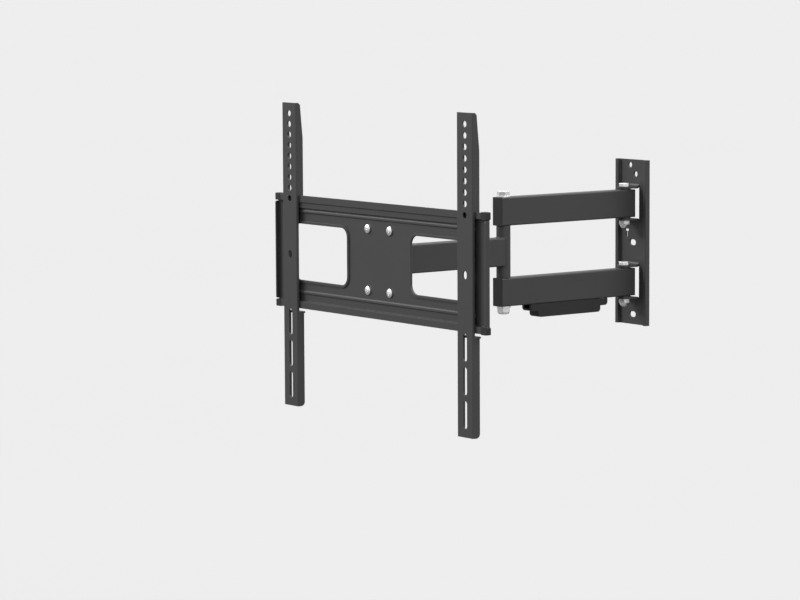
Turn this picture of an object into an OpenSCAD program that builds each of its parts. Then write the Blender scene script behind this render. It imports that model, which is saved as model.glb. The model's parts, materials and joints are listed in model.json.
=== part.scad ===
// Full motion TV wall mount: a narrow wall plate, a pair of first arms, a single
// second arm, a swivel and tilt head, a wide carrier plate and two TV brackets.
//
// The wall is the plane y = 0 and the mount stands out from it towards -Y.
// +Z is up and +X is to the right for a person facing the wall.
// The arms are modelled straight out from the wall.

/* [Wall plate] */
// Width of the wall plate
wall_w = 67.5; // [60:0.5:90]
// Height of the wall plate
wall_h = 240; // [225:1:280]
// Thickness of the wall plate's sheet
wall_t = 3; // [2.5:0.5:4]
// Width of the raised lip along each long edge
lip_w = 6.5; // [4:0.5:8]
// Distance that the lips stand out from the wall
lip_out = 7.5; // [5:0.5:8]
// Width of the two windows that the pivot lugs are bent out of
window_w = 28; // [26:1:32]
// Inside radius of the bend at each lug's root
lug_bend = 4; // [2:0.5:5]
// Height of the screw holes above the plate's centre: upper pair, middle and lower slot
wall_hole_z = [112, 99, -0.5, -105.5];

/* [Arms] */
// Width of the arm tubes
arm_w = 20; // [18:1:24]
// Height of the arm tubes
arm_h = 40; // [36:1:44]
// Wall of the arm tubes
arm_wall = 2; // [1.5:0.25:3]
// Clear height between the upper and the lower arm
arm_gap = 74; // [68:0.5:80]
// Distance of the wall pivots from the wall
pivot_out = 19.1; // [19:0.1:24]
// First arms, pivot to pivot
first_len = 224.6; // [200:0.1:300]
// Second arm, pivot to pivot
second_len = 188; // [170:1:260]
// Overhang of the first arms past the wall pivots
wall_end = 12.4; // [11:0.1:12.4]
// Overhang of the first arms past the elbow pivot
elbow_end = 11; // [10.5:0.1:16]

/* [Pivots] */
// Diameter of the wall pivot bolts and the tilt bolts
small_bolt = 8; // [8:1:8]
// Diameter of the elbow bolt and the swivel bolt
large_bolt = 10; // [10:1:10]
// Radial running clearance of a bolt in its bush
running = 0.05; // [0.02:0.01:0.1]
// Thickness of the flange of a plastic bush
bush_flange = 1.6; // [1:0.1:2]
// Outside diameter of the elbow tube
elbow_d = 20; // [18.5:0.5:20]
// Outside diameter of the head tube
head_d = 22; // [21:0.5:23]

/* [Head] */
// Tilt axis ahead of the swivel axis
tilt_ahead = 14; // [13:0.5:15]
// Half of the width of the swivel yoke
yoke_half = 25; // [24:0.5:26]
// Width of the tilt bracket
tilt_w = 76; // [72:1:90]
// Height of the tilt bracket
tilt_h = 105; // [100:1:108]
// Screws of the carrier plate, across and up
plate_screw = [50, 85];

/* [Carrier plate] */
// Width of the carrier plate
plate_w = 480; // [460:1:520]
// Height of the carrier plate
plate_h = 160; // [160:1:160]
// Thickness of the carrier plate's sheet
plate_t = 2; // [1.5:0.25:2.5]
// Width of the solid panel between the two openings
panel_w = 145; // [135:1:155]
// Size of each opening, across and up
opening = [127, 80];
// Corner radius of the openings
opening_r = 13; // [8:1:16]
// Width of the raised rim round the openings
rim_w = 3.5; // [2:0.5:5]

/* [TV brackets] */
// Distance between the brackets' centre lines
vesa_w = 400; // [300:100:400]
// Height of a bracket
bracket_h = 430; // [420:1:440]
// Width of a bracket
bracket_w = 33.5; // [30:0.5:36]
// Depth of a bracket's flanges
bracket_d = 11.75; // [11:0.25:12]
// Height of the brackets' centre above the arms' centre
bracket_z = -5; // [-8:0.5:0]
// Thickness of the brackets' sheet
bracket_t = 2; // [1.5:0.25:2.5]
// Pitch of the round holes
hole_pitch = 15; // [15:1:15]
// Pitch of the slots
slot_pitch = 45; // [45:1:45]

/* [Cable cover] */
// Length of the cable cover
cover_len = 142.5; // [120:0.5:150]
// Length of each of the two steps at its ends
cover_step = 13.5; // [10:0.5:16]
// Drop of the outer and of the inner step below the arm
cover_drop = [10, 19];
// Distance of the cover's middle from the wall
cover_out = 130.5; // [120:0.5:140]
// Wall of the cable cover
cover_wall = 1.8; // [1.5:0.1:2.5]

/* [Hidden] */
$fn = 48;
gap = 0.05;
overlap = 0.5;

small_r = small_bolt / 2;
large_r = large_bolt / 2;
small_head = [13, 5.3];
large_head = [16, 6.4];
pivot_head = [14, 4.8];
small_washer = [8, 1.6];
large_washer = [10, 2];
bush_sleeve = 12;
small_sleeve_r = 6;
large_sleeve_r = 7;

elbow_out = pivot_out + first_len;
head_out = elbow_out + second_len;
tilt_out = head_out + tilt_ahead;
arm_mid = (arm_gap + arm_h) / 2;
arm_top = arm_gap / 2 + arm_h;
arm_corner = 2;
plug_flange = 1.5;
plug_depth = 2.4;
plug_corner = 1;

lug_t = wall_t;
lug_nose = 10;
lug_inner = arm_h / 2 + bush_flange + gap;
lug_outer = lug_inner + lug_t;
wall_screw_r = 4.25;
wall_slot = [14, 8.5];
wall_hole_x = [-6, 6, 0, 0];
cap_nut = [15, 6, 6];

elbow_tube_h = arm_gap - 2 * (bush_flange + gap);
head_tube_h = 44;
yoke_gap = head_tube_h + 2 * (bush_flange + gap);
yoke_t = 3;
yoke_top = yoke_gap / 2 + yoke_t;
ear_r = 9;
ear_t = 3;
ear_gap = 1.5;
ear_x = yoke_half + ear_gap;
web_ahead = 28.1;
tilt_t = 3;
nyloc = [17, 6.6, 2.4];
tilt_nut_h = 6.8;

web_back = head_out + web_ahead;
web_front = web_back + plate_t;
band_front = web_front + 2.8;
ridge_front = web_front + 1.5;
rail_front = web_front + 4.2;
rail_lip = 9.5;
end_lip = 8.5;
ribbed_half = plate_w / 2 - 28;
rim_out = 1.6;
panel_half = panel_w / 2;
plate_screw_r = 3;
plate_nut = [10, 5];
pan_head = [6, 3.5];

bracket_front = rail_front + 4;
bracket_back = bracket_front - bracket_d;
bracket_r = 1.5;
bracket_low = bracket_z - bracket_h / 2;
bracket_high = bracket_z + bracket_h / 2;
bracket_hole_r = 4.3;
bracket_slot = [8, 37];
bracket_oval = [8, 11];
hook_drop = 6.5;
notch_top = plate_h / 2 + 0.1;
notch_low = -85;
notch_front = rail_front + 0.3;
taper_depth = 7.5;
taper_h = 50;
tab_t = 2.5;
tab_back = bracket_back - 2;
lock_r = 2.5;
lock_out = rail_front - 5.5;
lock_len = 14.5;
lock_head = [4.5, 3.2];

cap_len = 11;
cap_end = 0.6;
cap_h = 10.1;
cap_low = plate_h / 2 + 0.9 - cap_h;
cap_front = rail_front + 0.3;
cap_depth = 7.9;
end_flange_h = 2 * (cap_low - 1.5);
end_flange_front = rail_front + 1;

mouth = [12, 6.5];
bridge_at = [-45, 45];
bridge_t = 2;
peg_r = 2.95;

// ---- Placing flat outlines -------------------------------------------------

// An outline drawn in x and z, extruded from near to far in front of the wall
module outward(near, far) {
    translate([0, -near, 0])
        rotate([90, 0, 0])
            linear_extrude(height = far - near)
                children();
}

// An outline drawn in distance from the wall and z, extruded from x = left to right
module across(left, right) {
    translate([right, 0, 0])
        rotate([90, 0, -90])
            linear_extrude(height = right - left)
                children();
}

// An outline drawn in x and distance from the wall, extruded from z = low to high
module upright(low, high) {
    translate([0, 0, low])
        linear_extrude(height = high - low)
            mirror([0, 1, 0])
                children();
}

module both_sides() {
    children();
    mirror([1, 0, 0])
        children();
}

module above_and_below() {
    children();
    mirror([0, 0, 1])
        children();
}

// ---- Outlines ---------------------------------------------------------------

module centred(size) {
    square(size, center = true);
}

module rounded(size, r) {
    centred([size[0] - 2 * r, size[1]]);
    centred([size[0], size[1] - 2 * r]);
    for (x = [-1, 1], y = [-1, 1])
        translate([x * (size[0] / 2 - r), y * (size[1] / 2 - r)])
            circle(r);
}

// A slot of a width and an end to end length, along the outline's second axis
module slot(width, length) {
    centred([width, length - width]);
    for (y = [-1, 1])
        translate([0, y * (length - width) / 2])
            circle(width / 2);
}

// A quarter of a ring, from its first axis to its second
module quarter_ring(inner, outer) {
    intersection() {
        difference() {
            circle(outer);
            circle(inner);
        }
        square(outer + 1);
    }
}

module arm_section(shrink = 0) {
    rounded([arm_w - 2 * shrink, arm_h - 2 * shrink], max(arm_corner - shrink, 0.5));
}

// Points at a distance t to the left of a path, for a sheet bent along that path
function unit(v) = v / norm(v);
function left_of(v) = [-v[1], v[0]];
function turn_side(a, b, t) = let (m = unit(a + b)) m * t / (m * a);
function path_side(path, i) = left_of(unit(path[i + 1] - path[i]));
function beside(path, t) = let (last = len(path) - 1) [
    for (i = [0:last])
        path[i] + turn_side(
            path_side(path, max(i - 1, 0)),
            path_side(path, min(i, last - 1)),
            t
        )
];
function reversed(path) = [for (i = [len(path) - 1:-1:0]) path[i]];
function sheet(path, t, grow = 0) = concat(beside(path, -grow), reversed(beside(path, t + grow)));

// ---- Fasteners and turned parts, along +Z ------------------------------------

module ring(outer, inner, low, high) {
    translate([0, 0, low])
        difference() {
            cylinder(r = outer, h = high - low);
            translate([0, 0, -overlap])
                cylinder(r = inner, h = high - low + 2 * overlap);
        }
}

// A hexagon across its flats, with its outer corners turned down
module hexagon(flats, height) {
    corner = flats / 2 / cos(30);
    intersection() {
        cylinder(r = corner, h = height, $fn = 6);
        union() {
            cylinder(r = corner + 1, h = height - 1);
            translate([0, 0, height - 1])
                cylinder(r1 = corner + 0.3, r2 = flats / 2 - 0.3, h = 1);
        }
    }
}

// A bolt with the underside of its head at z = 0 and its shank down from there
module hex_bolt(r, length, head) {
    hexagon(head[0], head[1]);
    translate([0, 0, -length])
        cylinder(r1 = r - 1, r2 = r, h = 1);
    translate([0, 0, 1 - length])
        cylinder(r = r, h = length - 1 + overlap);
}

// A nut from z = 0 upwards with a rounded locking collar at its far end
module lock_nut(r, flats, hex_h, collar_h) {
    collar_r = flats / 2 - 0.2;
    difference() {
        union() {
            hexagon(flats, hex_h);
            translate([0, 0, hex_h - overlap])
                cylinder(r = collar_r, h = collar_h / 2 + overlap);
            translate([0, 0, hex_h + collar_h / 2])
                cylinder(r1 = collar_r, r2 = collar_r - collar_h / 2, h = collar_h / 2);
        }
        translate([0, 0, -overlap])
            cylinder(r = r + gap, h = hex_h + collar_h + 2 * overlap);
    }
}

// A closed nut from z = 0 upwards, with a round dome
module domed_nut(r, size) {
    dome_r = size[0] / 2 - 0.9;
    difference() {
        union() {
            hexagon(size[0], size[1]);
            intersection() {
                translate([0, 0, size[1] + size[2] - dome_r])
                    sphere(dome_r);
                translate([0, 0, size[1] - overlap])
                    cylinder(r = size[0], h = size[2] + 2 * overlap);
            }
        }
        translate([0, 0, -overlap])
            cylinder(r = r + gap, h = size[1] + 2.2 + overlap);
    }
}

module plain_nut(r, flats, height) {
    difference() {
        hexagon(flats, height);
        translate([0, 0, -overlap])
            cylinder(r = r + gap, h = height + 2 * overlap);
    }
}

// A bush with its flange on top of z = 0 and its sleeve down from there
module flanged_bush(bolt_r, sleeve_r, flange_r) {
    difference() {
        union() {
            cylinder(r = flange_r, h = bush_flange);
            translate([0, 0, -bush_sleeve])
                cylinder(r = sleeve_r, h = bush_sleeve + bush_flange);
        }
        translate([0, 0, -bush_sleeve - overlap])
            cylinder(r = bolt_r + running, h = bush_sleeve + bush_flange + 2 * overlap);
    }
}

// A low round head with a cross recess, its underside at z = 0
module cross_head(size) {
    difference() {
        intersection() {
            cylinder(r = size[0], h = size[1]);
            translate([0, 0, size[1] - size[0] * 1.9])
                sphere(r = size[0] * 1.9);
        }
        for (a = [0, 90])
            rotate([0, 0, a])
                translate([-size[0] * 0.45, -0.6, size[1] * 0.45])
                    cube([size[0] * 0.9, 1.2, size[1]]);
    }
}

// ---- Wall plate and its pivots -----------------------------------------------

module lug_side() {
    centre = wall_t + lug_bend;
    translate([centre, lug_outer + lug_bend])
        mirror([1, 0, 0])
            mirror([0, 1, 0])
                quarter_ring(lug_bend, lug_bend + lug_t);
    translate([centre, lug_inner])
        square([pivot_out + lug_nose, lug_t]);
}

module lug_plan() {
    root = wall_t + lug_bend;
    translate([-window_w / 2, 0])
        square([window_w, root]);
    polygon([
        [-window_w / 2, root - 0.01], [window_w / 2, root - 0.01],
        [lug_nose, pivot_out], [-lug_nose, pivot_out]
    ]);
    translate([0, pivot_out])
        circle(lug_nose);
}

module lug() {
    intersection() {
        across(-window_w / 2, window_w / 2)
            lug_side();
        upright(0, lug_outer + lug_bend)
            lug_plan();
    }
}

module cable_tie_slot() {
    translate([-13, 0]) {
        translate([-2, 7])
            square([4, 9]);
        translate([-4.5, 15.5])
            square([9, 3]);
    }
}

module wall_screw_holes() {
    for (i = [0, 1])
        translate([wall_hole_x[i], wall_hole_z[i]])
            circle(wall_screw_r);
    for (i = [2, 3])
        translate([wall_hole_x[i], wall_hole_z[i]])
            rotate(90)
                slot(wall_slot[1], wall_slot[0]);
}

module wall_plate() {
    window_h = 2 * (lug_outer + lug_bend);
    color([0.1, 0.1, 0.1])
        difference() {
            union() {
                outward(0, wall_t)
                    difference() {
                        centred([wall_w, wall_h]);
                        for (z = [-arm_mid, arm_mid])
                            translate([0, z])
                                centred([window_w, window_h]);
                        wall_screw_holes();
                        cable_tie_slot();
                    }
                both_sides()
                    upright(-wall_h / 2, wall_h / 2)
                        translate([(wall_w - lip_w) / 2, lip_out / 2])
                            rounded([lip_w, lip_out], 1.2);
                for (z = [-arm_mid, arm_mid])
                    translate([0, 0, z])
                        above_and_below()
                            lug();
            }
            translate([0, -pivot_out, -wall_h / 2])
                cylinder(r = small_r + running, h = wall_h);
        }
}

module at_wall_pivots() {
    for (z = [-arm_mid, arm_mid])
        translate([0, -pivot_out, z])
            children();
}

module wall_pivot_bolts() {
    color("silver")
        at_wall_pivots()
            translate([0, 0, lug_outer])
                rotate([0, 0, 8])
                    hex_bolt(small_r, 2 * lug_outer + cap_nut[1] + 1.5, pivot_head);
}

module wall_pivot_nuts() {
    color("silver")
        at_wall_pivots()
            translate([0, 0, -lug_outer])
                rotate([180, 0, 20])
                    domed_nut(small_r, cap_nut);
}

module wall_pivot_bushes() {
    color([0.08, 0.08, 0.08])
        at_wall_pivots()
            above_and_below()
                translate([0, 0, arm_h / 2])
                    flanged_bush(small_r, small_sleeve_r, lug_nose - 0.8);
}

// ---- First arms ----------------------------------------------------------------

module first_arm() {
    difference() {
        outward(pivot_out - wall_end + plug_flange, elbow_out + elbow_end - plug_flange)
            arm_section();
        outward(pivot_out - wall_end, elbow_out + elbow_end)
            arm_section(arm_wall);
        translate([0, -pivot_out, -arm_h])
            cylinder(r = small_sleeve_r, h = 2 * arm_h);
        translate([0, -elbow_out, -arm_h])
            cylinder(r = large_r + running, h = 2 * arm_h);
    }
}

module upper_arm() {
    color([0.1, 0.1, 0.1])
        translate([0, 0, arm_mid])
            first_arm();
}

module lower_arm() {
    color([0.1, 0.1, 0.1])
        difference() {
            translate([0, 0, -arm_mid])
                first_arm();
            for (d = bridge_at)
                translate([0, -cover_out - d, -arm_top - overlap])
                    cylinder(r = peg_r + gap, h = arm_wall + 2 * overlap);
        }
}

// A plug from z = 0 upwards: its flange, with a stub below that fits in the arm
module arm_end_plug() {
    linear_extrude(height = plug_flange)
        rounded([arm_w, arm_h], plug_corner);
    translate([0, 0, -plug_depth])
        linear_extrude(height = plug_depth + 0.1)
            arm_section(arm_wall + gap);
}

module arm_end_plugs() {
    color([0.06, 0.06, 0.06])
        for (z = [-arm_mid, arm_mid]) {
            translate([0, wall_end - plug_flange - pivot_out, z])
                rotate([-90, 0, 0])
                    arm_end_plug();
            translate([0, plug_flange - elbow_end - elbow_out, z])
                rotate([90, 0, 0])
                    arm_end_plug();
        }
}

module elbow_bolt() {
    length = 2 * (arm_top + large_washer[1]) + nyloc[1] + nyloc[2];
    color("silver")
        translate([0, -elbow_out, arm_top + large_washer[1]])
            rotate([0, 0, 41])
                hex_bolt(large_r, length, large_head);
}

module elbow_washers() {
    color("silver")
        translate([0, -elbow_out, 0])
            above_and_below()
                ring(large_washer[0], large_r + running, arm_top, arm_top + large_washer[1]);
}

module elbow_nut() {
    color("silver")
        translate([0, -elbow_out, -arm_top - large_washer[1]])
            rotate([180, 0, 18])
                lock_nut(large_r, nyloc[0], nyloc[1], nyloc[2]);
}

module elbow_spacers() {
    inside = arm_h / 2 - arm_wall;
    color("silver")
        for (z = [-arm_mid, arm_mid])
            translate([0, -elbow_out, z])
                ring(large_sleeve_r - 0.2, large_r + running, -inside, inside);
}

// ---- Cable cover -----------------------------------------------------------------

// Side outline of the cover, stepped at both ends, smaller by shrink all round
module cover_side(shrink = 0) {
    top = -arm_top - gap;
    tall = 2 * cover_drop[1];
    difference() {
        for (i = [0, 1])
            translate([cover_out, top - cover_drop[i] + shrink + tall / 2])
                rounded([cover_len - 2 * i * cover_step - 2 * shrink, tall], 5 - shrink);
        translate([cover_out - cover_len, top + shrink])
            square([2 * cover_len, tall]);
    }
}

module cable_cover() {
    top = -arm_top - gap;
    inside = arm_w / 2 - cover_wall;
    color([0.06, 0.06, 0.06]) {
        difference() {
            across(-arm_w / 2, arm_w / 2)
                cover_side();
            across(-inside, inside)
                cover_side(cover_wall);
            outward(cover_out - cover_len, cover_out + cover_len)
                translate([0, top - mouth[1] / 2 + overlap])
                    centred([mouth[0], mouth[1] + 2 * overlap]);
        }
        for (d = bridge_at)
            translate([0, -cover_out - d, top]) {
                translate([-inside - overlap, -6, -bridge_t])
                    cube([2 * (inside + overlap), 12, bridge_t]);
                translate([0, 0, -bridge_t])
                    cylinder(r = peg_r, h = bridge_t + gap + arm_wall + 0.8);
            }
    }
}

// ---- Second arm ------------------------------------------------------------------

module elbow_tube() {
    color([0.1, 0.1, 0.1])
        translate([0, -elbow_out, 0])
            ring(elbow_d / 2, large_sleeve_r, -elbow_tube_h / 2, elbow_tube_h / 2);
}

module elbow_bushes() {
    color([0.08, 0.08, 0.08])
        translate([0, -elbow_out, 0])
            above_and_below()
                translate([0, 0, elbow_tube_h / 2])
                    flanged_bush(large_r, large_sleeve_r, elbow_d / 2);
}

module second_arm_tube() {
    color([0.1, 0.1, 0.1])
        difference() {
            outward(elbow_out + 2, head_out)
                difference() {
                    arm_section();
                    arm_section(arm_wall);
                }
            translate([0, -elbow_out, -arm_h])
                cylinder(r = elbow_d / 2, h = 2 * arm_h);
            translate([0, -head_out, -arm_h])
                cylinder(r = head_d / 2, h = 2 * arm_h);
        }
}

module head_tube() {
    color([0.1, 0.1, 0.1])
        translate([0, -head_out, 0])
            ring(head_d / 2, large_sleeve_r, -head_tube_h / 2, head_tube_h / 2);
}

module head_bushes() {
    color([0.08, 0.08, 0.08])
        translate([0, -head_out, 0])
            above_and_below()
                translate([0, 0, head_tube_h / 2])
                    flanged_bush(large_r, large_sleeve_r, head_d / 2);
}

// ---- Swivel and tilt head ----------------------------------------------------------

module yoke_plan() {
    difference() {
        union() {
            translate([0, head_out])
                circle(12);
            translate([0, head_out])
                polygon([
                    [-12, 0], [12, 0], [yoke_half, 6], [yoke_half, 16],
                    [-yoke_half, 16], [-yoke_half, 6]
                ]);
        }
        translate([0, head_out])
            circle(large_r + running);
    }
}

module yoke_cheek() {
    difference() {
        union() {
            translate([head_out + 6, -yoke_top])
                square([10, 2 * yoke_top]);
            translate([tilt_out, 0])
                circle(ear_r);
        }
        translate([tilt_out, 0])
            circle(small_r + running);
    }
}

module swivel_yoke() {
    color([0.1, 0.1, 0.1]) {
        above_and_below()
            upright(yoke_gap / 2, yoke_top)
                yoke_plan();
        both_sides()
            across(yoke_half - yoke_t, yoke_half)
                yoke_cheek();
    }
}

module swivel_bolt() {
    length = 2 * (yoke_top + large_washer[1]) + nyloc[1] + nyloc[2];
    color("silver")
        translate([0, -head_out, yoke_top + large_washer[1]])
            hex_bolt(large_r, length, large_head);
}

module swivel_washers() {
    color("silver")
        translate([0, -head_out, 0])
            above_and_below()
                ring(large_washer[0], large_r + running, yoke_top, yoke_top + large_washer[1]);
}

module swivel_nut() {
    color("silver")
        translate([0, -head_out, -yoke_top - large_washer[1]])
            rotate([180, 0, 0])
                lock_nut(large_r, nyloc[0], nyloc[1], nyloc[2]);
}

// Turns +Z of its children to +X, at the tilt axis and a distance from the centre
module on_tilt_axis(x) {
    translate([x, -tilt_out, 0])
        rotate([0, 90, 0])
            children();
}

module tilt_bolts() {
    seat = ear_x + ear_t + gap + small_washer[1];
    length = seat - yoke_half + yoke_t + tilt_nut_h + 1.5;
    color("silver")
        both_sides()
            on_tilt_axis(seat)
                hex_bolt(small_r, length, small_head);
}

module tilt_washers() {
    seat = ear_x + ear_t + gap;
    color("silver")
        both_sides()
            on_tilt_axis(seat)
                ring(small_washer[0], small_r + running, 0, small_washer[1]);
}

module tilt_friction_washers() {
    color([0.2, 0.2, 0.2])
        both_sides()
            on_tilt_axis(yoke_half)
                ring(ear_r, small_r + running, gap, ear_gap - gap);
}

module tilt_nuts() {
    color("silver")
        both_sides()
            on_tilt_axis(yoke_half - yoke_t - tilt_nut_h)
                plain_nut(small_r, small_head[0], tilt_nut_h);
}

module tilt_ear() {
    back = web_back - tilt_t;
    difference() {
        union() {
            polygon([
                [tilt_out, -ear_r], [back + overlap, -14],
                [back + overlap, 14], [tilt_out, ear_r]
            ]);
            translate([tilt_out, 0])
                circle(ear_r);
        }
        translate([tilt_out, 0])
            circle(small_r + running);
    }
}

module at_plate_screws() {
    for (x = [-0.5, 0.5], z = [-0.5, 0.5])
        translate([x * plate_screw[0], z * plate_screw[1]])
            children();
}

module tilt_bracket() {
    color([0.1, 0.1, 0.1]) {
        outward(web_back - tilt_t, web_back)
            difference() {
                rounded([tilt_w, tilt_h], 6);
                at_plate_screws()
                    circle(plate_screw_r + running);
            }
        both_sides()
            across(ear_x, ear_x + ear_t)
                tilt_ear();
    }
}

// Turns +Z of its children to point away from the wall at each plate screw
module on_plate_screws(out) {
    for (x = [-0.5, 0.5], z = [-0.5, 0.5])
        translate([x * plate_screw[0], -out, z * plate_screw[1]])
            rotate([90, 0, 0])
                children();
}

module plate_screws() {
    length = plate_t + tilt_t + plate_nut[1] + 1;
    color("silver")
        on_plate_screws(web_front) {
            cross_head(pan_head);
            translate([0, 0, -length])
                cylinder(r = plate_screw_r, h = length + 0.2);
        }
}

module plate_nuts() {
    color("silver")
        on_plate_screws(web_back - tilt_t - plate_nut[1])
            plain_nut(plate_screw_r, plate_nut[0], plate_nut[1]);
}

// ---- Carrier plate -------------------------------------------------------------------

// Front surface of the ribbed sheet, from its lower to its upper edge: each rail has a low ridge,
// and the upper rail a raised band between its ridge and its lip
function ribbed_path() = let (edge = plate_h / 2) [
    [rail_front, -edge],
    [rail_front, rail_lip - edge],
    [web_front, rail_lip + 1.2 - edge],
    [web_front, 20.2 - edge],
    [ridge_front, 21.4 - edge],
    [ridge_front, 24 - edge],
    [web_front, 25.5 - edge],
    [web_front, edge - 25.2],
    [ridge_front, edge - 24],
    [ridge_front, edge - 21.6],
    [web_front, edge - 19.6],
    [web_front, edge - 18.4],
    [band_front, edge - 17.6],
    [band_front, edge - rail_lip - 1],
    [rail_front, edge - rail_lip],
    [rail_front, edge]
];

// Front surface of the plain sheet at the plate's ends, longer by rise at both edges
function end_path(rise = 0) = let (edge = plate_h / 2) [
    [rail_front, -edge - rise],
    [rail_front, end_lip - edge],
    [web_front, end_lip + 1.2 - edge],
    [web_front, edge - end_lip - 1.2],
    [rail_front, edge - end_lip],
    [rail_front, edge + rise]
];

module plate_openings(grow = 0) {
    for (side = [-1, 1])
        translate([side * (panel_half + opening[0] / 2), 0])
            rounded([opening[0] + 2 * grow, opening[1] + 2 * grow], opening_r + grow);
}

module carrier_plate() {
    color([0.11, 0.11, 0.11])
        difference() {
            union() {
                across(-ribbed_half - 1, ribbed_half + 1)
                    polygon(sheet(ribbed_path(), plate_t));
                both_sides() {
                    across(ribbed_half - 1, plate_w / 2)
                        polygon(sheet(end_path(), plate_t));
                    across(plate_w / 2 - plate_t, plate_w / 2)
                        translate([(web_back + end_flange_front) / 2, 0])
                            rounded([end_flange_front - web_back, end_flange_h], 2);
                }
                outward(web_back, web_front + rim_out)
                    plate_openings(rim_w);
            }
            outward(web_back - plate_t, web_front + 2 * rim_out)
                plate_openings();
            outward(web_back - plate_t, web_front + plate_t)
                at_plate_screws()
                    circle(plate_screw_r + running);
        }
}

// Cap on the right-hand end of the upper lip, or of the lower lip where side is -1
module end_cap(side = 1) {
    end = plate_w / 2;
    color([0.05, 0.05, 0.05])
        difference() {
            outward(cap_front - cap_depth, cap_front)
                translate([end + (cap_end - cap_len) / 2, side * (cap_low + cap_h / 2)])
                    rounded([cap_len + cap_end, cap_h], 1.5);
            across(0, end + gap)
                polygon(sheet(end_path(gap), plate_t, gap));
        }
}

module end_cap_upper_right() {
    end_cap();
}

module end_cap_upper_left() {
    mirror([1, 0, 0])
        end_cap();
}

module end_cap_lower_right() {
    end_cap(-1);
}

module end_cap_lower_left() {
    mirror([1, 0, 0])
        end_cap(-1);
}

// ---- TV brackets --------------------------------------------------------------------

// Channel section, in x and distance from the wall
module channel() {
    difference() {
        union() {
            translate([-bracket_w / 2, bracket_back])
                square([bracket_w, bracket_d - bracket_r]);
            translate([0, bracket_front - 2 * bracket_r])
                rounded([bracket_w, 4 * bracket_r], bracket_r);
        }
        translate([bracket_t - bracket_w / 2, bracket_back - 1])
            square([bracket_w - 2 * bracket_t, bracket_d + 1 - bracket_t]);
    }
}

// Side outline of a bracket: a tapered top, a hook over the rail and a notch for the plate
module bracket_side() {
    difference() {
        polygon([
            [bracket_front, bracket_high],
            [bracket_front - taper_depth + 3, bracket_high],
            [bracket_front - taper_depth, bracket_high - 3],
            [bracket_back, bracket_high - taper_h],
            [bracket_back, notch_top - hook_drop],
            [rail_front - plate_t - 0.8, notch_top - hook_drop],
            [rail_front - plate_t - 0.8, notch_top],
            [notch_front, notch_top],
            [notch_front, notch_low],
            [bracket_back, notch_low],
            [bracket_back, bracket_low],
            [bracket_front, bracket_low]
        ]);
        translate([bracket_back, bracket_low])
            difference() {
                translate([-1, -1])
                    square(7);
                translate([6, 6])
                    circle(6);
            }
    }
}

module bracket_holes() {
    for (i = [0:8])
        translate([0, bracket_z + 80 + i * hole_pitch])
            circle(bracket_hole_r);
    translate([0, bracket_z + 1])
        slot(bracket_oval[0], bracket_oval[1]);
    for (i = [0:2])
        translate([0, bracket_z - 95 - i * slot_pitch])
            slot(bracket_slot[0], bracket_slot[1]);
}

module tv_bracket() {
    color([0.11, 0.11, 0.11])
        difference() {
            union() {
                intersection() {
                    upright(bracket_low, bracket_high)
                        channel();
                    across(-bracket_w, bracket_w)
                        bracket_side();
                }
                upright(notch_low - tab_t, notch_low)
                    translate([-bracket_w / 2, tab_back])
                        square([bracket_w, notch_front - tab_back]);
            }
            outward(bracket_front - bracket_t - 1, bracket_front + 1)
                bracket_holes();
            translate([0, -lock_out, notch_low - 2 * tab_t])
                cylinder(r = lock_r + running, h = 3 * tab_t);
        }
}

module tv_bracket_left() {
    translate([-vesa_w / 2, 0, 0])
        tv_bracket();
}

module tv_bracket_right() {
    translate([vesa_w / 2, 0, 0])
        tv_bracket();
}

// Locking screw that stands up behind the lower rail's lip
module lock_screw() {
    color("silver")
        translate([0, -lock_out, notch_low - tab_t - gap])
            rotate([180, 0, 0]) {
                cross_head(lock_head);
                translate([0, 0, -lock_len])
                    cylinder(r = lock_r, h = lock_len + 0.2);
            }
}

module lock_screw_left() {
    translate([-vesa_w / 2, 0, 0])
        lock_screw();
}

module lock_screw_right() {
    translate([vesa_w / 2, 0, 0])
        lock_screw();
}

wall_plate();
wall_pivot_bolts();
wall_pivot_nuts();
wall_pivot_bushes();
upper_arm();
lower_arm();
arm_end_plugs();
elbow_bolt();
elbow_washers();
elbow_nut();
elbow_spacers();
cable_cover();
elbow_tube();
elbow_bushes();
second_arm_tube();
head_tube();
head_bushes();
swivel_yoke();
swivel_bolt();
swivel_washers();
swivel_nut();
tilt_bolts();
tilt_washers();
tilt_friction_washers();
tilt_nuts();
tilt_bracket();
plate_screws();
plate_nuts();
carrier_plate();
end_cap_upper_left();
end_cap_upper_right();
end_cap_lower_left();
end_cap_lower_right();
tv_bracket_left();
tv_bracket_right();
lock_screw_left();
lock_screw_right();
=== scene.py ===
"""Full motion TV wall mount: materials, fine detail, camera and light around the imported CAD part."""

import json
import math

import bpy
from mathutils import Matrix, Vector


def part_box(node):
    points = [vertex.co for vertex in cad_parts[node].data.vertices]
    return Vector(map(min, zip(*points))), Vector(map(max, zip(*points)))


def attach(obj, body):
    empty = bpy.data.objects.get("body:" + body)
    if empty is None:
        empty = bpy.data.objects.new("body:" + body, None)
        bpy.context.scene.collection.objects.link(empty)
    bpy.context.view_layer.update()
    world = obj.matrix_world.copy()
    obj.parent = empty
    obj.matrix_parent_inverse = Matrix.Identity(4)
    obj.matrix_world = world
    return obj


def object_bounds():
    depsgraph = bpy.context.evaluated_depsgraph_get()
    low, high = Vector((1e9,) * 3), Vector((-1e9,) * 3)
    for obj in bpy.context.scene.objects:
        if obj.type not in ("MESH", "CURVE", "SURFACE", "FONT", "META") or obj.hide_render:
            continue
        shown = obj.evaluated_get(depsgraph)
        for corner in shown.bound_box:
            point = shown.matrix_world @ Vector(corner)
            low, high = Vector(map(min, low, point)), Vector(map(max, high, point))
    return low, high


MM = 0.001

# Rounded edges of the CAD pieces, in millimetres
SHEET_EDGE = 0.35
FASTENER_EDGE = 0.2

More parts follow.
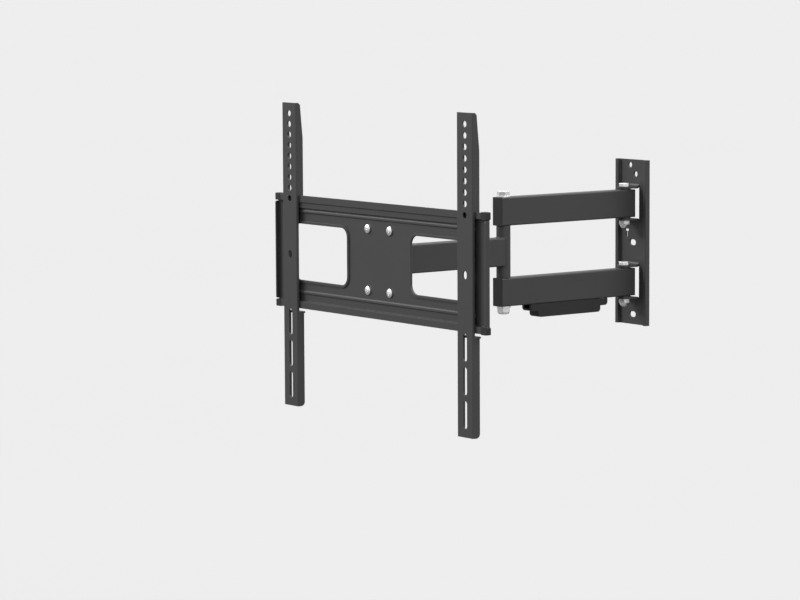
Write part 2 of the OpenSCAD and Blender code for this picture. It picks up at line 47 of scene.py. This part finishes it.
# The weld beads: radius, length of one ripple, and its height as a share of the radius
WELD_RADIUS = 1.0 * MM
WELD_RIPPLE = 1.6 * MM
WELD_RIPPLE_DEPTH = 0.10

# The nylon ring in a locking nut: bore radius, width, depth in the nut, and how far it stands out
INSERT_BORE = 5.15 * MM
INSERT_WIDTH = 1.5 * MM
INSERT_DEPTH = 0.8 * MM
INSERT_PROUD = 0.15 * MM

# Camera: focal length in millimetres, place in metres, then azimuth, elevation and roll in degrees
LENS = 145.0
CAMERA_PLACE = (3.5208, -3.0771, 0.4117)
CAMERA_AIM = (53.024, 6.059, -0.294)

# Lights: name, azimuth, elevation and apparent width in degrees, and strength
SUNS = (
    ("key", -50, 32, 22, 2.0),
    ("side", 84, 28, 24, 1.0),
    ("back", 160, 35, 30, 0.8),
)

# Grey of the sky, from straight down at 0 through the horizon at 0.5 to straight up at 1
SKY = ((0.0, 0.22), (0.46, 0.40), (0.48, 0.86), (0.52, 0.86), (0.66, 0.72), (1.0, 2.1))

# The floor lies this far below the mount and reaches this far to each side, in metres
FLOOR_DROP = 0.6
FLOOR_REACH = 200.0

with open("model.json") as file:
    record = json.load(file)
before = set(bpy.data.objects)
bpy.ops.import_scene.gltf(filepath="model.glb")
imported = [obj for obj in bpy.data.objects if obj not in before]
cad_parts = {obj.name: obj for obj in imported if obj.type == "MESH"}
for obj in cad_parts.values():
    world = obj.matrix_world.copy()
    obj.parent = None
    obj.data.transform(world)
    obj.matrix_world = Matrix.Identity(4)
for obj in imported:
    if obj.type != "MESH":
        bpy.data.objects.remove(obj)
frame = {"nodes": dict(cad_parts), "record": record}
cad_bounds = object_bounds()
nodes = frame["nodes"]
record = frame["record"]


# ---- Materials ---------------------------------------------------------------


class Shader:
    """A Principled material with short helpers for its nodes."""

    def __init__(self, name, **settings):
        self.material = bpy.data.materials.new(name)
        self.material.use_nodes = True
        self.tree = self.material.node_tree
        self.surface = self.tree.nodes["Principled BSDF"]
        for socket, value in settings.items():
            self.surface.inputs[socket.replace("_", " ")].default_value = value
        self.place = self.node("ShaderNodeTexCoord").outputs["Object"]

    def node(self, kind, **settings):
        """A new node with some of its settings changed."""
        made = self.tree.nodes.new(kind)
        for key, value in settings.items():
            setattr(made, key, value)
        return made

    def link(self, source, target):
        self.tree.links.new(source, target)

    def noise(self, size, detail=2.0, roughness=0.5, stretch=None):
        """Noise whose features are about size millimetres across."""
        made = self.node("ShaderNodeTexNoise")
        made.inputs["Scale"].default_value = 1 / (size * MM)
        made.inputs["Detail"].default_value = detail
        made.inputs["Roughness"].default_value = roughness
        place = self.place
        if stretch:
            mapping = self.node("ShaderNodeMapping")
            mapping.inputs["Scale"].default_value = stretch
            self.link(place, mapping.inputs["Vector"])
            place = mapping.outputs["Vector"]
        self.link(place, made.inputs["Vector"])
        return made.outputs["Fac"]

    def remap(self, value, low, high, to_low, to_high):
        """The value moved from the range low to high into the range to_low to to_high."""
        made = self.node("ShaderNodeMapRange")
        self.link(value, made.inputs["Value"])
        for socket, number in (
            ("From Min", low),
            ("From Max", high),
            ("To Min", to_low),
            ("To Max", to_high),
        ):
            made.inputs[socket].default_value = number
        return made.outputs["Result"]

    def mix(self, share, first, second):
        """The first colour where share is 0, the second where it is 1."""
        made = self.node("ShaderNodeMix", data_type="RGBA")
        self.link(share, made.inputs["Factor"])
        for socket, colour in (("A", first), ("B", second)):
            target = next(s for s in made.inputs if s.name == socket and s.type == "RGBA")
            if isinstance(colour, tuple):
                target.default_value = (*colour, 1)
            else:
                self.link(colour, target)
        return next(s for s in made.outputs if s.type == "RGBA")

    def maths(self, operation, first, second):
        """One sum on two values or numbers."""
        made = self.node("ShaderNodeMath", operation=operation)
        for socket, value in zip(made.inputs, (first, second)):
            if isinstance(value, (int, float)):
                socket.default_value = value
            else:
                self.link(value, socket)
        return made.outputs["Value"]

    def rounded(self, radius):
        """Normals that turn smoothly over edges, as if they were rounded by radius millimetres."""
        bevel = self.node("ShaderNodeBevel", samples=4)
        bevel.inputs["Radius"].default_value = radius * MM
        return bevel.outputs["Normal"]

    def edges(self, radius):
        """1 at sharp edges, falling to 0 within about radius millimetres."""
        geometry = self.node("ShaderNodeNewGeometry")
        dot = self.node("ShaderNodeVectorMath", operation="DOT_PRODUCT")
        self.link(self.rounded(radius), dot.inputs[0])
        self.link(geometry.outputs["Normal"], dot.inputs[1])
        return self.remap(dot.outputs["Value"], 0.995, 0.86, 0.0, 1.0)

    def bump(self, radius, layers):
        """Layers of (height, depth in millimetres), the finest last, over edges rounded by radius."""
        normal = self.rounded(radius)
        for height, depth in layers:
            made = self.node("ShaderNodeBump")
            made.inputs["Strength"].default_value = 1.0
            made.inputs["Distance"].default_value = depth * MM
            self.link(height, made.inputs["Height"])
            self.link(normal, made.inputs["Normal"])
            normal = made.outputs["Normal"]
        self.link(normal, self.surface.inputs["Normal"])


def powder_coat():
    """Fine textured black powder coat, a little lighter on edges: partly wear where the coat pulls
    thin, partly a painted highlight.
    """
    m = Shader("black_powder_coat", Metallic=0.0, Specular_IOR_Level=0.5)
    clouds = m.noise(60, detail=3)
    grain = m.noise(1.1, detail=3, roughness=0.6)
    fine = m.noise(0.45, detail=1)
    colour = m.mix(clouds, (0.023, 0.023, 0.024), (0.029, 0.029, 0.030))
    # Painted highlight mixed with wear: edges turn a lighter grey in patches, standing in for light
    # caught on rounded edges as well as for thin coat there
    wear_and_highlight = m.maths("MULTIPLY", m.edges(0.7), m.remap(m.noise(3, detail=3), 0.35, 0.7, 0.15, 0.6))
    m.link(m.mix(wear_and_highlight, colour, (0.12, 0.12, 0.122)), m.surface.inputs["Base Color"])
    m.link(m.remap(grain, 0.3, 0.7, 0.46, 0.60), m.surface.inputs["Roughness"])
    m.bump(0.5, [(grain, 0.035), (fine, 0.012)])
    return m.material


def zinc():
    """Bright zinc plate with a faint brushed direction and cloudy passivation."""
    m = Shader("zinc", Metallic=1.0)
    clouds = m.noise(5, detail=3)
    m.link(m.mix(clouds, (0.84, 0.845, 0.85), (0.93, 0.93, 0.92)), m.surface.inputs["Base Color"])
    streaks = m.noise(0.5, detail=2, stretch=(1, 1, 0.2))
    m.link(m.remap(streaks, 0.3, 0.7, 0.26, 0.42), m.surface.inputs["Roughness"])
    m.bump(0.25, [(clouds, 0.02), (streaks, 0.006)])
    return m.material


def moulded(name, dark, light, grain_size, depth, rough):
    """A moulded plastic with a fine grain, grain_size across and depth high in millimetres."""
    m = Shader(name, Metallic=0.0, Specular_IOR_Level=0.32)
    clouds = m.noise(25, detail=2)
    grain = m.noise(grain_size, detail=2, roughness=0.6)
    m.link(m.mix(clouds, dark, light), m.surface.inputs["Base Color"])
    m.link(m.remap(grain, 0.3, 0.7, *rough), m.surface.inputs["Roughness"])
    m.bump(0.4, [(grain, depth)])
    return m.material


MATERIALS = {
    "black_powder_coat": powder_coat(),
    "zinc": zinc(),
    "black_nylon": moulded("black_nylon", (0.030,) * 3, (0.036,) * 3, 0.9, 0.01, (0.42, 0.55)),
    "black_plastic": moulded("black_plastic", (0.010,) * 3, (0.014,) * 3, 0.6, 0.02, (0.50, 0.66)),
    "fibre": moulded("fibre", (0.09, 0.08, 0.07), (0.16, 0.14, 0.12), 0.4, 0.04, (0.8, 0.95)),
}


# ---- CAD nodes: soft edges and materials ---------------------------------------


def soften(node, width, merged):
    """Rounds a CAD node's edges by width millimetres; merged joins its flat triangles first."""
    weld = node.modifiers.new("weld", "WELD")
    weld.merge_threshold = 0.02 * MM
    if merged:
        flat = node.modifiers.new("flat", "DECIMATE")
        flat.decimate_type = "DISSOLVE"
        flat.angle_limit = math.radians(0.5)
    bevel = node.modifiers.new("bevel", "BEVEL")
    bevel.width = width * MM
    bevel.segments = 2
    bevel.limit_method = "ANGLE"
    bevel.angle_limit = math.radians(32)
    bevel.miter_outer = "MITER_ARC"
    normals = node.modifiers.new("normals", "WEIGHTED_NORMAL")
    normals.keep_sharp = True
    normals.weight = 80


for part in record["subparts"]:
    node = nodes[part["node"]]
    slot = part["material_slot"]
    node.data.materials.clear()
    node.data.materials.append(MATERIALS[slot])
    # The carrier plate's faces hold several holes, which a single polygon can't
    merged = part["node"] != "carrier_plate"
    soften(node, FASTENER_EDGE if slot == "zinc" else SHEET_EDGE, merged)


# ---- Weld beads and nylon inserts -------------------------------------------------


def add_piece(name, body, slot, vertices, faces):
    """A mesh in metres that rides on a body and takes its finish from a material slot."""
    mesh = bpy.data.meshes.new(name)
    mesh.from_pydata(vertices, [], faces)
    mesh.materials.append(MATERIALS[slot])
    mesh.polygons.foreach_set("use_smooth", [True] * len(faces))
    piece = bpy.data.objects.new(name, mesh)
    bpy.context.scene.collection.objects.link(piece)
    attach(piece, body)
    return piece


def ring_faces(rings, sides):
    """Quads between closed rings of vertices, the last ring joined to the first."""
    return [
        (
            i * sides + k,
            i * sides + (k + 1) % sides,
            (i + 1) % rings * sides + (k + 1) % sides,
            (i + 1) % rings * sides + k,
        )
        for i in range(rings)
        for k in range(sides)
    ]


def bead_path(centre, radius, half, top, towards, steps=40, step=0.6 * MM):
    """A loop where a flat-sided tube, 2 half wide and 2 top high, meets an upright round tube."""
    reach = min(math.asin(min(1.0, half / radius)), math.radians(75))
    arc = [
        Vector((radius * math.sin(a), towards * radius * math.cos(a), 0))
        for a in (reach * (2 * i / steps - 1) for i in range(steps + 1))
    ]
    drop = round(2 * top / step)
    levels = [top * (1 - 2 * i / drop) for i in range(1, drop)]
    upper = [point + Vector((0, 0, top)) for point in arc]
    down = [arc[-1] + Vector((0, 0, z)) for z in levels]
    lower = [point - Vector((0, 0, top)) for point in reversed(arc)]
    up = [arc[0] + Vector((0, 0, z)) for z in reversed(levels)]
    return [centre + point for point in upper + down + lower + up]


def weld_bead(tube, body, sides=10):
    """A rippled bead where the second arm meets one of its upright tubes."""
    low, high = (Vector(corner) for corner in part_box(tube))
    arm_low, arm_high = (Vector(corner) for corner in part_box("second_arm_tube"))
    centre = (low + high) / 2
    towards = math.copysign(1, (arm_low.y + arm_high.y) / 2 - centre.y)
    path = bead_path(centre, (high.x - low.x) / 2, arm_high.x, arm_high.z, towards)
    vertices = []
    travelled = 0.0
    for i, point in enumerate(path):
        travelled += (point - path[i - 1]).length if i else 0.0
        tangent = (path[(i + 1) % len(path)] - path[i - 1]).normalized()
        outwards = Vector((point.x - centre.x, point.y - centre.y, 0))
        outwards = (outwards - tangent * outwards.dot(tangent)).normalized()
        across = tangent.cross(outwards)
        ripple = math.cos(2 * math.pi * travelled / WELD_RIPPLE)
        size = WELD_RADIUS * (1 + WELD_RIPPLE_DEPTH * ripple)
        for k in range(sides):
            a = 2 * math.pi * k / sides
            vertices.append(point + (outwards * math.cos(a) + across * math.sin(a)) * size)
    add_piece(tube + "_weld", body, "black_powder_coat", vertices, ring_faces(len(path), sides))


def nylon_insert(nut, body, sides=48):
    """The nylon ring that shows at the lower end of a locking nut."""
    low, high = (Vector(corner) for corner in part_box(nut))
    x, y = (low.x + high.x) / 2, (low.y + high.y) / 2
    rim = INSERT_BORE + INSERT_WIDTH
    outline = (
        (INSERT_BORE, INSERT_DEPTH),
        (INSERT_BORE, -INSERT_PROUD),
        (rim, -INSERT_PROUD),
        (rim, INSERT_DEPTH),
    )
    vertices = [
        (x + r * math.cos(a), y + r * math.sin(a), low.z + z)
        for r, z in outline
        for a in (2 * math.pi * k / sides for k in range(sides))
    ]
    faces = ring_faces(len(outline), sides)
    piece = add_piece(nut + "_insert", body, "black_nylon", vertices, faces)
    soft = piece.modifiers.new("bevel", "BEVEL")
    soft.width = 0.1 * MM
    soft.limit_method = "ANGLE"


weld_bead("elbow_tube", "second_arm")
weld_bead("head_tube", "second_arm")
nylon_insert("elbow_nut", "first_arms")
nylon_insert("swivel_nut", "swivel")


# ---- Camera, light and floor -----------------------------------------------------


def aimed(azimuth, elevation, roll=0.0):
    """Rotation that looks back along a direction: azimuth from -Y towards +X, then upwards."""
    a, e, r = (math.radians(angle) for angle in (azimuth, elevation, roll))
    look = Vector((-math.sin(a) * math.cos(e), math.cos(a) * math.cos(e), -math.sin(e)))
    right = Vector((math.cos(a), math.sin(a), 0))
    up = right.cross(look)
    turned_right = right * math.cos(r) + up * math.sin(r)
    turned_up = up * math.cos(r) - right * math.sin(r)
    return Matrix((turned_right, turned_up, -look)).transposed().to_4x4()


def place(item, matrix):
    """Adds an object, camera or light to the scene."""
    bpy.context.scene.collection.objects.link(item)
    item.matrix_world = matrix


def make_camera():
    data = bpy.data.cameras.new("camera")
    data.lens = LENS
    data.sensor_width = 36.0
    data.clip_start = 0.1
    data.clip_end = 2 * FLOOR_REACH
    camera = bpy.data.objects.new("camera", data)
    place(camera, Matrix.Translation(CAMERA_PLACE) @ aimed(*CAMERA_AIM))
    bpy.context.scene.camera = camera


def soft_sun(name, azimuth, elevation, spread, strength):
    """A distant light, so that the floor stays evenly lit, as wide as spread degrees."""
    data = bpy.data.lights.new(name, "SUN")
    data.angle = math.radians(spread)
    data.energy = strength
    place(bpy.data.objects.new(name, data), aimed(azimuth, elevation))


def make_floor():
    """A floor wide enough to fill the picture; it throws no light back up at the mount."""
    low = cad_bounds[0].z - FLOOR_DROP
    sides = ((-1, -1), (1, -1), (1, 1), (-1, 1))
    mesh = bpy.data.meshes.new("floor")
    mesh.from_pydata([(x * FLOOR_REACH, y * FLOOR_REACH, low) for x, y in sides], [], [(0, 1, 2, 3)])
    floor = bpy.data.objects.new("floor", mesh)
    place(floor, Matrix.Identity(4))
    floor.visible_diffuse = False
    floor.visible_glossy = False
    m = Shader("floor", Roughness=0.9, Specular_IOR_Level=0.0)
    m.link(m.mix(m.noise(2000), (0.406,) * 3, (0.412,) * 3), m.surface.inputs["Base Color"])
    mesh.materials.append(m.material)


def make_world():
    """Even light round the horizon, bright overhead and dim below."""
    world = bpy.data.worlds.new("studio")
    world.use_nodes = True
    tree = world.node_tree
    heading = tree.nodes.new("ShaderNodeTexCoord").outputs["Generated"]
    split = tree.nodes.new("ShaderNodeSeparateXYZ")
    tree.links.new(heading, split.inputs["Vector"])
    height = tree.nodes.new("ShaderNodeMapRange")
    height.inputs["From Min"].default_value = -1
    tree.links.new(split.outputs["Z"], height.inputs["Value"])
    ramp = tree.nodes.new("ShaderNodeValToRGB")
    while len(ramp.color_ramp.elements) < len(SKY):
        ramp.color_ramp.elements.new(1.0)
    for stop, (position, grey) in zip(ramp.color_ramp.elements, SKY):
        stop.position = position
        stop.color = (grey, grey, grey, 1)
    tree.links.new(height.outputs["Result"], ramp.inputs["Fac"])
    tree.links.new(ramp.outputs["Color"], tree.nodes["Background"].inputs["Color"])
    bpy.context.scene.world = world
    bpy.context.scene.view_settings.view_transform = "Standard"


make_camera()
make_world()
make_floor()
for sun in SUNS:
    soft_sun(*sun)
